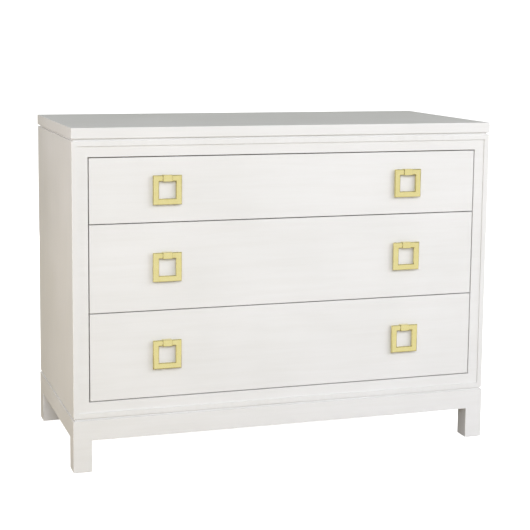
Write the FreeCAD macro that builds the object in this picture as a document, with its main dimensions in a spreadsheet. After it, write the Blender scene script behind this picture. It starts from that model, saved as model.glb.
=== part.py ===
import FreeCAD, Part
import os
import re

import Sketcher

# Campaign chest: three inset drawers in a lacquered case on a legged base, with square ring pulls.
# The chest stands on Z = 0 and faces -Y. X = 0 is its middle, and Y = 0 is the middle of its overall
# depth, pulls included. All lengths are in millimetres.

SIZES = {
    # overall
    "chest_width": 1067.0,
    "chest_depth": 495.0,
    "chest_height": 819.0,
    "edge_round": 1.2,
    # top slab and the shadow lines above and below the case
    "slab_thick": 25.4,
    "reveal_gap": 4.8,
    "reveal_inset": 6.0,
    # case
    "case_setback": 1.0,
    "panel_thick": 19.05,
    "lip_width": 12.7,
    "frame_bar": 25.4,
    "frame_thick": 19.05,
    "frame_inset": 3.0,
    "back_thick": 6.35,
    "back_inset": 3.0,
    "back_seat": 9.5,
    # base
    "base_tall": 127.0,
    "leg_size": 44.45,
    "apron_tall": 48.6,
    "apron_thick": 19.05,
    "tenon_long": 16.0,
    "tenon_thick": 9.5,
    "tenon_shoulder": 6.0,
    "tenon_space": 1.0,
    "glide_tall": 2.0,
    "glide_radius": 11.0,
    "block_leg": 60.0,
    "block_thick": 25.4,
    # drawers
    "drawer_gap": 2.4,
    "top_front_tall": 154.0,
    "front_thick": 19.05,
    "front_round": 0.8,
    "box_behind": 31.6,
    "box_board": 12.7,
    "box_under": 12.0,
    "box_over": 20.0,
    "tail_pitch": 43.0,
    "tail_slope": 0.16,
    "floor_thick": 6.35,
    "floor_rise": 9.5,
    "floor_seat": 6.0,
    # telescopic runners
    "slide_long": 400.0,
    "slide_tall": 46.0,
    "slide_width": 12.7,
    "slide_sheet": 1.5,
    "slide_lip": 3.5,
    "slide_play": 0.3,
    "slide_mouth": 0.7,
    "slide_rise": 50.0,
    "slide_behind": 2.0,
    # ring pulls
    "pull_inset": 226.0,
    "ring_size": 70.0,
    "ring_bar": 14.5,
    "ring_thick": 7.0,
    "ring_round": 1.2,
    "pivot_out": 8.6,
    "pivot_radius": 3.0,
    "pivot_play": 0.06,
    "pivot_long": 5.5,
    "knuckle_wide": 22.7,
    "knuckle_tall": 15.6,
    "knuckle_deep": 14.0,
    "knuckle_play": 0.35,
    "knuckle_round": 1.0,
    # screws
    "screw_radius": 2.1,
    "screw_head": 4.2,
    "screw_head_tall": 2.6,
    "screw_bite": 15.0,
    "screw_inset": 54.0,
    "bolt_radius": 2.0,
    "bolt_head": 4.5,
    "bolt_head_tall": 2.4,
    "bolt_bite": 7.0,
    "hole_play": 0.2,
}

DRAWERS = ("1", "2", "3")  # from the top down
TAIL_SHARE = 0.33  # half the width of a tail's end, as a share of the pitch of the tails
CROWN_SHARE = 0.6  # radius of the flat on a screw's head, as a share of the head's radius

doc = FreeCAD.newDocument("CampaignChest")
sheet = doc.addObject("Spreadsheet::Sheet", "Sizes")
for row, (alias, length) in enumerate(SIZES.items(), start=1):
    sheet.set(f"A{row}", alias)
    sheet.set(f"B{row}", str(length))
    sheet.setAlias(f"B{row}", alias)
doc.recompute()

# Places that several pieces share, as formulas of the sheet's cells.
SLAB_FRONT = "((knuckle_deep - case_setback - frame_inset - chest_depth) / 2)"
CASE_LEFT = "(case_setback - chest_width / 2)"
CASE_FRONT = f"({SLAB_FRONT} + case_setback)"
CASE_FOOT = "(base_tall + reveal_gap)"
CASE_WIDE = "(chest_width - 2 * case_setback)"
CASE_DEEP = "(chest_depth - 2 * case_setback)"
CASE_TALL = "(chest_height - base_tall - slab_thick - 2 * reveal_gap)"
FACE = f"({CASE_FRONT} + frame_inset)"
FRAME_BACK = f"({FACE} + frame_thick)"
FRAME_EDGE = "(lip_width + frame_bar)"
OPENING_LEFT = f"({CASE_LEFT} + {FRAME_EDGE})"
OPENING_FOOT = f"({CASE_FOOT} + {FRAME_EDGE})"
OPENING_WIDE = f"(-2 * {OPENING_LEFT})"
OPENING_TALL = f"({CASE_TALL} - 2 * {FRAME_EDGE})"
LOWER_TALL = f"(({OPENING_TALL} - top_front_tall - 4 * drawer_gap) / 2)"
BOX_LEFT = f"({OPENING_LEFT} + slide_width)"
BOX_WIDE = f"(-2 * {BOX_LEFT})"
BOX_FRONT = f"({FACE} + front_thick)"
BOX_LONG = f"({CASE_DEEP} - frame_inset - front_thick - back_thick - back_inset - box_behind)"
CHEST_MIDDLE = f"({SLAB_FRONT} + chest_depth / 2)"
SLIDE_FRONT = f"({FRAME_BACK} + slide_behind)"
LEG_TALL = "(base_tall - glide_tall)"
PIVOT_Y = f"({FACE} - pivot_out)"

FRONT_TALL = dict(zip(DRAWERS, ("top_front_tall", LOWER_TALL, LOWER_TALL)))
FRONT_FOOT = {}
next_foot = f"{OPENING_FOOT} + drawer_gap"
for number in reversed(DRAWERS):
    FRONT_FOOT[number] = f"({next_foot})"
    next_foot += f" + {FRONT_TALL[number]} + drawer_gap"
BOX_TALL = {n: f"({FRONT_TALL[n]} - box_under - box_over)" for n in DRAWERS}
BOX_FOOT = {n: f"({FRONT_FOOT[n]} + box_under)" for n in DRAWERS}
SLIDE_MID = {n: f"({BOX_FOOT[n]} + slide_rise)" for n in DRAWERS}
PIVOT_Z = {n: f"({FRONT_FOOT[n]} + {FRONT_TALL[n]} / 2 + (ring_size - ring_bar) / 2)" for n in DRAWERS}
PULL_SIDES = {"left": "(pull_inset - chest_width / 2)", "right": "(chest_width / 2 - pull_inset)"}

# Screws, at places measured from the slab's left front corner: six into the slab, four into the case floor.
SCREW_X = ("screw_inset", "chest_width / 2", "chest_width - screw_inset")
SCREW_Y = ("screw_inset", "chest_depth - screw_inset")
SLAB_SPOTS = [(x, y) for x in SCREW_X for y in SCREW_Y]
BASE_SPOTS = [(x, y) for x in SCREW_X[::2] for y in SCREW_Y]
SCREW_SIZES = ("screw_radius", "screw_head", "screw_head_tall")
BOLT_SIZES = ("bolt_radius", "bolt_head", "bolt_head_tall")
SCREW_CLEAR = "screw_radius + hole_play"
BOLT_CLEAR = "bolt_radius + hole_play"

kept = {}


# ---- helpers ----


def cells(formula):
    """The formula with each size's name turned into a reference to its cell."""
    return re.sub(r"[a-z]\w+", lambda word: f"Sizes.{word[0]}" if word[0] in SIZES else word[0], formula)


def value(formula):
    """The formula's present value."""
    return float(sheet.evalExpression(cells(formula)))


def bind(thing, prop, formula):
    thing.setExpression(prop, cells(formula))


def keep(thing, node):
    """Mark a finished object as the sub-part of this name."""
    thing.Label = node
    kept[node] = thing
    return thing


def place(thing, x, y, z, axis=(0, 0, 1), turn=0):
    """Stand an object at a place given by formulas, turned about an axis by a number of degrees."""
    thing.Placement.Rotation = FreeCAD.Rotation(FreeCAD.Vector(*axis), turn)
    for letter, formula in zip("xyz", (x, y, z)):
        bind(thing, f".Placement.Base.{letter}", formula)
    return thing


def new_body(name):
    return doc.addObject("PartDesign::Body", name)


def origin_plane(body, plane):
    return next(item for item in body.Origin.OriginFeatures if item.Role == plane + "_Plane")


def new_sketch(body, plane, offset, name):
    """A sketch on one of the body's own origin planes, moved along the plane's normal."""
    sketch = body.newObject("Sketcher::SketchObject", name)
    sketch.AttachmentSupport = [(origin_plane(body, plane), "")]
    sketch.MapMode = "FlatFace"
    bind(sketch, ".AttachmentOffset.Base.z", offset)
    return sketch


def pin_point(sketch, geometry, point, x, y):
    """Hold a point of a sketch at a place given by two formulas."""
    for kind, formula in (("DistanceX", x), ("DistanceY", y)):
        limit = sketch.addConstraint(Sketcher.Constraint(kind, -1, 1, geometry, point, value(formula)))
        bind(sketch, f"Constraints[{limit}]", formula)


def draw_outline(sketch, corners):
    """Add a closed outline of straight lines through corners given as pairs of formulas."""
    first = sketch.GeometryCount
    spots = [FreeCAD.Vector(value(x), value(y), 0) for x, y in corners]
    for here, there in zip(spots, spots[1:] + spots[:1]):
        sketch.addGeometry(Part.LineSegment(here, there), False)
    count = len(corners)
    for index, (x, y) in enumerate(corners):
        following = first + (index + 1) % count
        sketch.addConstraint(Sketcher.Constraint("Coincident", first + index, 2, following, 1))
        pin_point(sketch, first + index, 1, x, y)


def draw_circle(sketch, x, y, radius):
    centre = FreeCAD.Vector(value(x), value(y), 0)
    circle = sketch.addGeometry(Part.Circle(centre, FreeCAD.Vector(0, 0, 1), value(radius)), False)
    limit = sketch.addConstraint(Sketcher.Constraint("Radius", circle, value(radius)))
    bind(sketch, f"Constraints[{limit}]", radius)
    pin_point(sketch, circle, 3, x, y)


def box_corners(x0, y0, x1, y1):
    return [(x0, y0), (x1, y0), (x1, y1), (x0, y1)]


def outline(body, plane, offset, shapes, name):
    """A sketch of one or more closed outlines."""
    sketch = new_sketch(body, plane, offset, name)
    for corners in shapes:
        draw_outline(sketch, corners)
    return sketch


def rounds(body, plane, offset, spots, radius, name):
    """A sketch of equal circles."""
    sketch = new_sketch(body, plane, offset, name)
    for x, y in spots:
        draw_circle(sketch, x, y, radius)
    return sketch


def pad(body, sketch, length, back=False, name="Pad"):
    feature = body.newObject("PartDesign::Pad", name)
    feature.Profile = sketch
    feature.Reversed = back
    bind(feature, "Length", length)
    doc.recompute()
    return feature


def pocket(body, sketch, length, back=False, name="Pocket"):
    """Cut a sketch into the body, and stop if nothing was cut."""
    before = body.Shape.Volume
    feature = body.newObject("PartDesign::Pocket", name)
    feature.Profile = sketch
    feature.Reversed = back
    bind(feature, "Length", length)
    doc.recompute()
    if body.Shape.Volume >= before - 1e-6:
        raise ValueError(f"{body.Label}: {name} cuts nothing")
    return feature


def edges_on(shape, *corners):
    """Names of the edges that lie on both sides of any of the given pairs, such as ("XMin", "ZMax")."""
    names = []
    for number, edge in enumerate(shape.Edges, start=1):
        for sides in corners:
            if all(lies_on(edge, shape.BoundBox, side) for side in sides):
                names.append(f"Edge{number}")
                break
    return names


def lies_on(edge, bounds, side):
    """Whether an edge lies in the plane of one side of the bounding box."""
    limit = getattr(bounds, side)
    coordinate = side[0].lower()
    return all(abs(getattr(vertex.Point, coordinate) - limit) < 1e-4 for vertex in edge.Vertexes)


def fillet(body, names, radius):
    base = body.Tip
    feature = body.newObject("PartDesign::Fillet", "Eased")
    feature.Base = (base, names)
    bind(feature, "Radius", radius)
    doc.recompute()
    return feature


def board(name, wide, deep, tall):
    """A plain board with a corner at its own origin."""
    body = new_body(name)
    sketch = outline(body, "XY", "0", [box_corners("0", "0", wide, deep)], "Outline")
    pad(body, sketch, tall)
    return body


def mirror(name, source, axis, base="0"):
    """A mirror image of an object, across the plane at right angles to an axis."""
    image = doc.addObject("Part::Mirroring", name)
    image.Source = source
    image.Normal = FreeCAD.Vector(*(float(axis == letter) for letter in "xyz"))
    bind(image, f".Base.{axis}", base)
    doc.recompute()
    return image


def group(node, pieces):
    """Several alike but separate solids as one sub-part."""
    compound = doc.addObject("Part::Compound", node)
    compound.Links = pieces
    doc.recompute()
    return keep(compound, node)


def both_sides(node, source):
    """A left piece and its mirror image as one sub-part."""
    return group(node, [source, mirror(node + "_image", source, "x")])


# ---- top ----


def top_slab():
    body = board("Slab", "chest_width", "chest_depth", "slab_thick")
    fillet(body, edges_on(body.Shape, ("ZMax",), ("ZMin",), ("XMin", "YMin"), ("XMax", "YMin"),
                          ("XMin", "YMax"), ("XMax", "YMax")), "edge_round")
    holes = rounds(body, "XY", "0", SLAB_SPOTS, "screw_radius", "ScrewHoles")
    pocket(body, holes, "screw_bite", back=True, name="ScrewPocket")
    place(body, "-chest_width / 2", SLAB_FRONT, "chest_height - slab_thick")
    keep(body, "top_slab")


def spacer(node, foot, spots):
    """A thin board set back all round, which shows as a shadow line, with the screws' holes."""
    wide, deep = "chest_width - 2 * reveal_inset", "chest_depth - 2 * reveal_inset"
    body = board(node + "_body", wide, deep, "reveal_gap")
    shifted = [(f"{x} - reveal_inset", f"{y} - reveal_inset") for x, y in spots]
    holes = rounds(body, "XY", "reveal_gap", shifted, SCREW_CLEAR, "ScrewHoles")
    pocket(body, holes, "reveal_gap", name="ScrewPocket")
    place(body, "reveal_inset - chest_width / 2", f"{SLAB_FRONT} + reveal_inset", foot)
    keep(body, node)


# ---- case ----


def side_panels():
    """Case sides, rebated inside for the face frame in front and the back panel behind."""
    body = board("Side", "panel_thick", CASE_DEEP, CASE_TALL)
    seat = box_corners("0", "lip_width", "frame_inset + frame_thick", f"{CASE_TALL} - lip_width")
    cut = outline(body, "YZ", "panel_thick", [seat], "FrameRebate")
    pocket(body, cut, "panel_thick - lip_width", name="FramePocket")
    low = "(panel_thick - back_seat)"
    rear = f"{CASE_DEEP} - back_inset - back_thick"
    seat = box_corners(rear, low, CASE_DEEP, f"{CASE_TALL} - {low}")
    cut = outline(body, "YZ", "panel_thick", [seat], "BackRebate")
    pocket(body, cut, "back_seat", name="BackPocket")
    fillet(body, edges_on(body.Shape, ("XMin",), ("YMin", "ZMin"), ("YMin", "ZMax")), "edge_round")
    place(body, CASE_LEFT, CASE_FRONT, CASE_FOOT)
    keep(body, "side_panel_left")
    keep(mirror("SideRight", body, "x"), "side_panel_right")


def cross_panel(name):
    """The case floor, between the sides, rebated above for the face frame and the back panel."""
    rear = f"{CASE_DEEP} - back_inset - back_thick"
    corners = [
        ("0", "0"),
        (CASE_DEEP, "0"),
        (CASE_DEEP, "panel_thick - back_seat"),
        (rear, "panel_thick - back_seat"),
        (rear, "panel_thick"),
        ("frame_inset + frame_thick", "panel_thick"),
        ("frame_inset + frame_thick", "lip_width"),
        ("0", "lip_width"),
    ]
    body = new_body(name)
    pad(body, outline(body, "YZ", "0", [corners], "Profile"), f"{CASE_WIDE} - 2 * panel_thick")
    fillet(body, edges_on(body.Shape, ("YMin", "ZMin")), "edge_round")
    place(body, f"{CASE_LEFT} + panel_thick", CASE_FRONT, CASE_FOOT)
    return body


def from_panel_corner(spots):
    """Places of screws measured from the left front corner of a cross panel."""
    return [(f"{x} - case_setback - panel_thick", f"{y} - case_setback") for x, y in spots]


def case_floor():
    body = cross_panel("Floor")
    holes = rounds(body, "XY", "0", from_panel_corner(BASE_SPOTS), "screw_radius", "ScrewHoles")
    pocket(body, holes, "screw_bite", back=True, name="ScrewPocket")
    keep(body, "case_floor")


def case_ceiling():
    """The case's upper panel: the floor's section turned over, with the slab's screws through it."""
    body = cross_panel("Ceiling")
    holes = rounds(body, "XY", "0", from_panel_corner(SLAB_SPOTS), SCREW_CLEAR, "ScrewHoles")
    pocket(body, holes, "panel_thick", back=True, name="ScrewPocket")
    keep(mirror("CeilingTurned", body, "z", f"{CASE_FOOT} + {CASE_TALL} / 2"), "case_ceiling")


def back_panel():
    seat = "(panel_thick - back_seat)"
    body = board("Back", f"{CASE_WIDE} - 2 * {seat}", "back_thick", f"{CASE_TALL} - 2 * {seat}")
    rear = f"{CASE_FRONT} + {CASE_DEEP} - back_inset - back_thick"
    place(body, f"{CASE_LEFT} + {seat}", rear, f"{CASE_FOOT} + {seat}")
    keep(body, "back_panel")


def face_frame():
    """Two stiles the full height between the case's lips, and two rails between them."""
    stile = board("Stile", "frame_bar", "frame_thick", f"{CASE_TALL} - 2 * lip_width")
    place(stile, f"{CASE_LEFT} + lip_width", FACE, f"{CASE_FOOT} + lip_width")
    keep(stile, "face_stile_left")
    keep(mirror("StileRight", stile, "x"), "face_stile_right")
    feet = {"bottom": f"{CASE_FOOT} + lip_width", "top": f"{OPENING_FOOT} + {OPENING_TALL}"}
    for end, foot in feet.items():
        rail = board("Rail_" + end, OPENING_WIDE, "frame_thick", "frame_bar")
        place(rail, OPENING_LEFT, FACE, foot)
        keep(rail, "face_rail_" + end)


# ---- base ----


def legs():
    """Square legs flush with the aprons, each mortised on its two inner faces."""
    body = board("Leg", "leg_size", "leg_size", LEG_TALL)
    tenon_in = "(apron_thick - tenon_thick) / 2"
    low = f"{LEG_TALL} - apron_tall + tenon_shoulder"
    mortise = box_corners(tenon_in, low, f"{tenon_in} + tenon_thick", f"{LEG_TALL} - tenon_shoulder")
    front = outline(body, "YZ", "leg_size", [mortise], "FrontMortise")
    pocket(body, front, "tenon_long + tenon_space", name="FrontMortisePocket")
    side = outline(body, "XZ", "-leg_size", [mortise], "SideMortise")
    pocket(body, side, "tenon_long + tenon_space", back=True, name="SideMortisePocket")
    fillet(body, edges_on(body.Shape, ("ZMin",), ("XMin", "YMin")), "edge_round")
    place(body, "-chest_width / 2", SLAB_FRONT, "glide_tall")
    keep(body, "leg_front_left")
    keep(mirror("LegFrontRight", body, "x"), "leg_front_right")
    rear_left = keep(mirror("LegRearLeft", body, "y", CHEST_MIDDLE), "leg_rear_left")
    keep(mirror("LegRearRight", rear_left, "x"), "leg_rear_right")


def apron(name, long):
    """A rail with a stub tenon at each end. Its outer face is at its own Y = 0."""
    body = board(name, long, "apron_thick", "apron_tall")
    high = "apron_tall - tenon_shoulder"
    core = box_corners("-tenon_long", "tenon_shoulder", f"{long} + tenon_long", high)
    tenons = outline(body, "XZ", "-(apron_thick - tenon_thick) / 2", [core], "Tenons")
    pad(body, tenons, "tenon_thick", back=True, name="TenonPad")
    fillet(body, edges_on(body.Shape, ("YMin", "ZMin")), "edge_round")
    return body


def aprons():
    foot = "base_tall - apron_tall"
    front = apron("FrontApron", "chest_width - 2 * leg_size")
    place(front, "leg_size - chest_width / 2", SLAB_FRONT, foot)
    keep(front, "apron_front")
    keep(mirror("RearApron", front, "y", CHEST_MIDDLE), "apron_rear")
    left = apron("LeftApron", "chest_depth - 2 * leg_size")
    place(left, "-chest_width / 2", f"{SLAB_FRONT} + chest_depth - leg_size", foot, turn=-90)
    keep(left, "apron_left")
    keep(mirror("RightApron", left, "x"), "apron_right")


def four_corners(node, piece):
    """A piece at the left front corner and its images at the other three, as one sub-part."""
    rear = mirror(node + "_rear", piece, "y", CHEST_MIDDLE)
    front_right = mirror(node + "_front_right", piece, "x")
    rear_right = mirror(node + "_rear_right", rear, "x")
    group(node, [piece, rear, front_right, rear_right])


def corner_blocks():
    """Glue blocks notched round the legs, which the case is screwed down through."""
    body = new_body("Block")
    reach = "leg_size + block_leg"
    corners = [
        ("leg_size", "apron_thick"),
        (reach, "apron_thick"),
        ("apron_thick", reach),
        ("apron_thick", "leg_size"),
        ("leg_size", "leg_size"),
    ]
    pad(body, outline(body, "XY", "0", [corners], "Profile"), "block_thick")
    hole = rounds(body, "XY", "0", BASE_SPOTS[:1], SCREW_CLEAR, "ScrewHole")
    pocket(body, hole, "block_thick", back=True, name="ScrewPocket")
    place(body, "-chest_width / 2", SLAB_FRONT, "base_tall - block_thick")
    four_corners("corner_blocks", body)


def foot_glides():
    glide = doc.addObject("Part::Cylinder", "Glide")
    bind(glide, "Radius", "glide_radius")
    bind(glide, "Height", "glide_tall")
    place(glide, "(leg_size - chest_width) / 2", f"{SLAB_FRONT} + leg_size / 2", "0")
    four_corners("foot_glides", glide)


# ---- screws ----


def screw(name, shank, radius, head, head_tall):
    """A pan-head screw along +Z, its head's seat at its own origin."""
    body = new_body(name)
    sketch = new_sketch(body, "XZ", "0", "Profile")
    crown = f"-{head_tall}"
    brow = f"-{head_tall} / 2"
    draw_outline(sketch, [
        ("0", crown),
        (f"{head} * {CROWN_SHARE}", crown),
        (head, brow),
        (head, "0"),
        (radius, "0"),
        (radius, f"{shank} - {radius}"),
        ("0", shank),
    ])
    turned = body.newObject("PartDesign::Revolution", "Turned")
    turned.Profile = sketch
    turned.ReferenceAxis = (sketch, ["V_Axis"])
    turned.Angle = 360
    doc.recompute()
    return body


def case_screws():
    """Screws up through the case ceiling into the slab, and through the corner blocks into its floor."""
    pieces = []
    ceiling = f"{CASE_FOOT} + {CASE_TALL} - panel_thick"
    block = "base_tall - block_thick"
    runs = [(SLAB_SPOTS, ceiling, "panel_thick + reveal_gap + screw_bite - hole_play")]
    runs.append((BASE_SPOTS, block, "block_thick + reveal_gap + screw_bite - hole_play"))
    for spots, foot, shank in runs:
        for x, y in spots:
            piece = screw(f"Screw{len(pieces)}", f"({shank})", *SCREW_SIZES)
            pieces.append(place(piece, f"{x} - chest_width / 2", f"{SLAB_FRONT} + {y}", foot))
    group("case_screws", pieces)


# ---- telescopic runners ----


def channel(name, back, mouth, half, lip):
    """A channel with lips turned in, open towards +X, centred on its own Z = 0 and running along +Y."""
    sheet_in = f"{back} + slide_sheet"
    lip_in = f"{mouth} - slide_sheet"
    inner = f"{half} - slide_sheet"
    edge = f"{half} - {lip}"
    upper = [(sheet_in, inner), (lip_in, inner), (lip_in, edge), (mouth, edge), (mouth, half), (back, half)]
    lower = [(x, f"-({z})") for x, z in reversed(upper)]
    body = new_body(name)
    pad(body, outline(body, "XZ", "0", [lower + upper], "Section"), "slide_long", back=True)
    return body


def hat(name, back, half, neck):
    """The drawer's own member: a hat section whose brim runs inside the middle channel."""
    brim = f"{back} + slide_sheet"
    web = "slide_width - slide_sheet"
    inner = f"{neck} - slide_sheet"
    upper = [(web, inner), (back, inner), (back, half), (brim, half), (brim, neck), ("slide_width", neck)]
    lower = [(x, f"-({z})") for x, z in reversed(upper)]
    body = new_body(name)
    pad(body, outline(body, "XZ", "0", [lower + upper], "Section"), "slide_long", back=True)
    return body


def runners(number):
    """Three nested members on each side of a drawer, each with a running clearance in the next."""
    step = "(slide_sheet + slide_play)"
    half = "slide_tall / 2"
    outer_mouth = "(slide_width - slide_mouth - slide_sheet)"
    members = {
        "case": channel(f"CaseMember{number}", "0", outer_mouth, half, "slide_lip"),
        "middle": channel(f"MiddleMember{number}", step, f"({outer_mouth} - {step})", f"({half} - {step})",
                          "slide_lip"),
        "drawer": hat(f"DrawerMember{number}", f"(2 * {step})", f"({half} - 2 * {step})",
                      f"({half} - {step} - slide_lip - slide_play)"),
    }
    for kind, body in members.items():
        place(body, OPENING_LEFT, SLIDE_FRONT, SLIDE_MID[number])
        both_sides(f"drawer_{number}_runner_{kind}", body)


def runner_packers():
    """Strips that bring the runners out from the case sides to the edge of the opening."""
    strips = []
    for number in DRAWERS:
        body = board(f"Packer{number}", f"{FRAME_EDGE} - panel_thick", "slide_long", "slide_tall")
        x = f"{CASE_LEFT} + panel_thick"
        place(body, x, SLIDE_FRONT, f"{SLIDE_MID[number]} - slide_tall / 2")
        strips += [body, mirror(f"PackerImage{number}", body, "x")]
    group("runner_packers", strips)


# ---- drawers ----


def tail_corners(number, end, root):
    """Corners of each dovetail in the YZ plane, from bottom to top: narrow at its root, wide at its end."""
    count = max(2, round(value(BOX_TALL[number]) / SIZES["tail_pitch"]))
    pitch = f"({BOX_TALL[number]} / {count})"
    wide = f"({pitch} * {TAIL_SHARE})"
    narrow = f"({wide} - box_board * tail_slope)"
    tails = []
    for tail in range(count):
        middle = f"{pitch} * {tail + 0.5}"
        low = [(root, f"{middle} - {narrow}"), (end, f"{middle} - {wide}")]
        high = [(end, f"{middle} + {wide}"), (root, f"{middle} + {narrow}")]
        tails.append(low + high)
    return tails


def drawer_front(number):
    """The lacquered front, drilled for the bolts of its two pulls."""
    wide = f"({OPENING_WIDE} - 2 * drawer_gap)"
    body = board(f"Front{number}", wide, "front_thick", FRONT_TALL[number])
    fillet(body, edges_on(body.Shape, ("YMin",)), "front_round")
    height = f"{PIVOT_Z[number]} - {FRONT_FOOT[number]}"
    spots = [(f"{x} - {OPENING_LEFT} - drawer_gap", height) for x in PULL_SIDES.values()]
    holes = rounds(body, "XZ", "0", spots, BOLT_CLEAR, "BoltHoles")
    pocket(body, holes, "front_thick", name="BoltPocket")
    place(body, f"{OPENING_LEFT} + drawer_gap", FACE, FRONT_FOOT[number])
    keep(body, f"drawer_{number}_front")


def box_end(number, name):
    """A cross board of a drawer box, with sockets for the sides' dovetails and a groove for its floor."""
    body = board(name, BOX_WIDE, "box_board", BOX_TALL[number])
    sockets = tail_corners(number, "0", "box_board")
    for side, offset, back in (("Left", "box_board", False), ("Right", f"{BOX_WIDE} - box_board", True)):
        sketch = outline(body, "YZ", offset, sockets, side + "Sockets")
        pocket(body, sketch, "box_board", back=back, name=side + "SocketPocket")
    ends = "(box_board - floor_seat)"
    groove = box_corners(ends, "floor_rise", f"{BOX_WIDE} - {ends}", "floor_rise + floor_thick")
    sketch = outline(body, "XZ", "-box_board", [groove], "Groove")
    pocket(body, sketch, "floor_seat", back=True, name="GroovePocket")
    place(body, BOX_LEFT, BOX_FRONT, BOX_FOOT[number])
    return body


def drawer_box(number):
    """A dovetailed box: front, back, two sides and a floor let into grooves."""
    front = box_end(number, f"BoxFront{number}")
    height = f"{PIVOT_Z[number]} - {BOX_FOOT[number]}"
    spots = [(f"{x} - {BOX_LEFT}", height) for x in PULL_SIDES.values()]
    holes = rounds(front, "XZ", "0", spots, BOLT_CLEAR, "BoltHoles")
    pocket(front, holes, "box_board", name="BoltPocket")
    keep(front, f"drawer_{number}_box_front")
    back = box_end(number, f"BoxBack{number}")
    middle = f"{BOX_FRONT} + {BOX_LONG} / 2"
    keep(mirror(f"BoxBackTurned{number}", back, "y", middle), f"drawer_{number}_box_back")

    side = new_body(f"BoxSide{number}")
    tall = BOX_TALL[number]
    rear_root = f"{BOX_LONG} - box_board"
    front_tails = tail_corners(number, "0", "box_board")
    rear_tails = tail_corners(number, BOX_LONG, rear_root)
    corners = [("box_board", "0"), (rear_root, "0")]
    corners += [corner for tail in rear_tails for corner in tail]
    corners += [(rear_root, tall), ("box_board", tall)]
    corners += [corner for tail in reversed(front_tails) for corner in reversed(tail)]
    pad(side, outline(side, "YZ", "0", [corners], "Profile"), "box_board")
    ends = "(box_board - floor_seat)"
    groove = box_corners(ends, "floor_rise", f"{BOX_LONG} - {ends}", "floor_rise + floor_thick")
    pocket(side, outline(side, "YZ", "box_board", [groove], "Groove"), "floor_seat", name="GroovePocket")
    place(side, BOX_LEFT, BOX_FRONT, BOX_FOOT[number])
    both_sides(f"drawer_{number}_box_sides", side)

    wide, deep = f"{BOX_WIDE} - 2 * {ends}", f"{BOX_LONG} - 2 * {ends}"
    floor = board(f"BoxFloor{number}", wide, deep, "floor_thick")
    place(floor, f"{BOX_LEFT} + {ends}", f"{BOX_FRONT} + {ends}", f"{BOX_FOOT[number]} + floor_rise")
    keep(floor, f"drawer_{number}_box_floor")


# ---- ring pulls ----


def knuckle(name):
    """The block that carries a ring: its own origin is on the ring's pivot, and its back is flat."""
    body = new_body(name)
    half = "knuckle_wide / 2"
    face = box_corners(f"-{half}", "-knuckle_tall / 2", half, "knuckle_tall / 2")
    pad(body, outline(body, "XZ", "-pivot_out", [face], "Face"), "knuckle_deep")
    fillet(body, edges_on(body.Shape, ("YMin",)), "knuckle_round")
    for side, offset, back in (("Left", f"-{half}", True), ("Right", half, False)):
        bore = rounds(body, "YZ", offset, [("0", "0")], "pivot_radius + pivot_play", side + "Bore")
        pocket(body, bore, "pivot_long + pivot_play", back=back, name=side + "BorePocket")
    hole = rounds(body, "XZ", "-pivot_out", [("0", "0")], "bolt_radius", "BoltHole")
    pocket(body, hole, "bolt_bite + bolt_radius", back=True, name="BoltPocket")
    return body


def ring(name):
    """A square ring cut away at the top for its knuckle, with a stub pivot on each side of the gap."""
    body = new_body(name)
    half = "ring_size / 2"
    top = "ring_bar / 2"
    bottom = f"({top} - ring_size)"
    gap = "(knuckle_wide / 2 + knuckle_play)"
    hole = f"({half} - ring_bar)"
    right = [(gap, top), (half, top), (half, bottom)]
    inner = [(gap, f"-{top}"), (hole, f"-{top}"), (hole, f"{bottom} + ring_bar")]
    corners = right + [(f"-{x}", z) for x, z in reversed(right)]
    corners += [(f"-{x}", z) for x, z in inner] + list(reversed(inner))
    pad(body, outline(body, "XZ", "-ring_thick / 2", [corners], "Outline"), "ring_thick")
    fillet(body, edges_on(body.Shape, ("YMin",), ("YMax",)), "ring_round")
    stub = rounds(body, "YZ", "knuckle_wide / 2 - pivot_long", [("0", "0")], "pivot_radius", "Stub")
    stub_pad = pad(body, stub, "pivot_long + knuckle_play", name="StubPad")
    image = body.newObject("PartDesign::Mirrored", "StubImage")
    image.Originals = [stub_pad]
    image.MirrorPlane = (origin_plane(body, "YZ"), [""])
    body.Tip = image
    doc.recompute()
    return body


def pulls(number):
    knuckles = []
    bolts = []
    for side, x in PULL_SIDES.items():
        spot = (x, PIVOT_Y, PIVOT_Z[number])
        knuckles.append(place(knuckle(f"Knuckle{number}_{side}"), *spot))
        ring_body = place(ring(f"Ring{number}_{side}"), *spot)
        keep(ring_body, f"drawer_{number}_ring_{side}")
        shank = "(box_board + front_thick + bolt_bite)"
        bolt = screw(f"Bolt{number}_{side}", shank, *BOLT_SIZES)
        seat = f"{BOX_FRONT} + box_board"
        bolts.append(place(bolt, x, seat, PIVOT_Z[number], axis=(1, 0, 0), turn=90))
    group(f"drawer_{number}_knuckles", knuckles)
    group(f"drawer_{number}_pull_bolts", bolts)


# ---- assembly ----

top_slab()
spacer("top_spacer", f"{CASE_FOOT} + {CASE_TALL}", SLAB_SPOTS)
side_panels()
case_floor()
case_ceiling()
back_panel()
face_frame()
spacer("base_spacer", "base_tall", BASE_SPOTS)
legs()
aprons()
corner_blocks()
foot_glides()
case_screws()
runner_packers()
for drawer in DRAWERS:
    runners(drawer)
    drawer_front(drawer)
    drawer_box(drawer)
    pulls(drawer)
doc.recompute()

# ---- checks and export ----

for item in doc.Objects:
    if {"Invalid", "Error"} & set(item.State):
        raise ValueError(f"{item.Label} failed: {item.State}")

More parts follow.
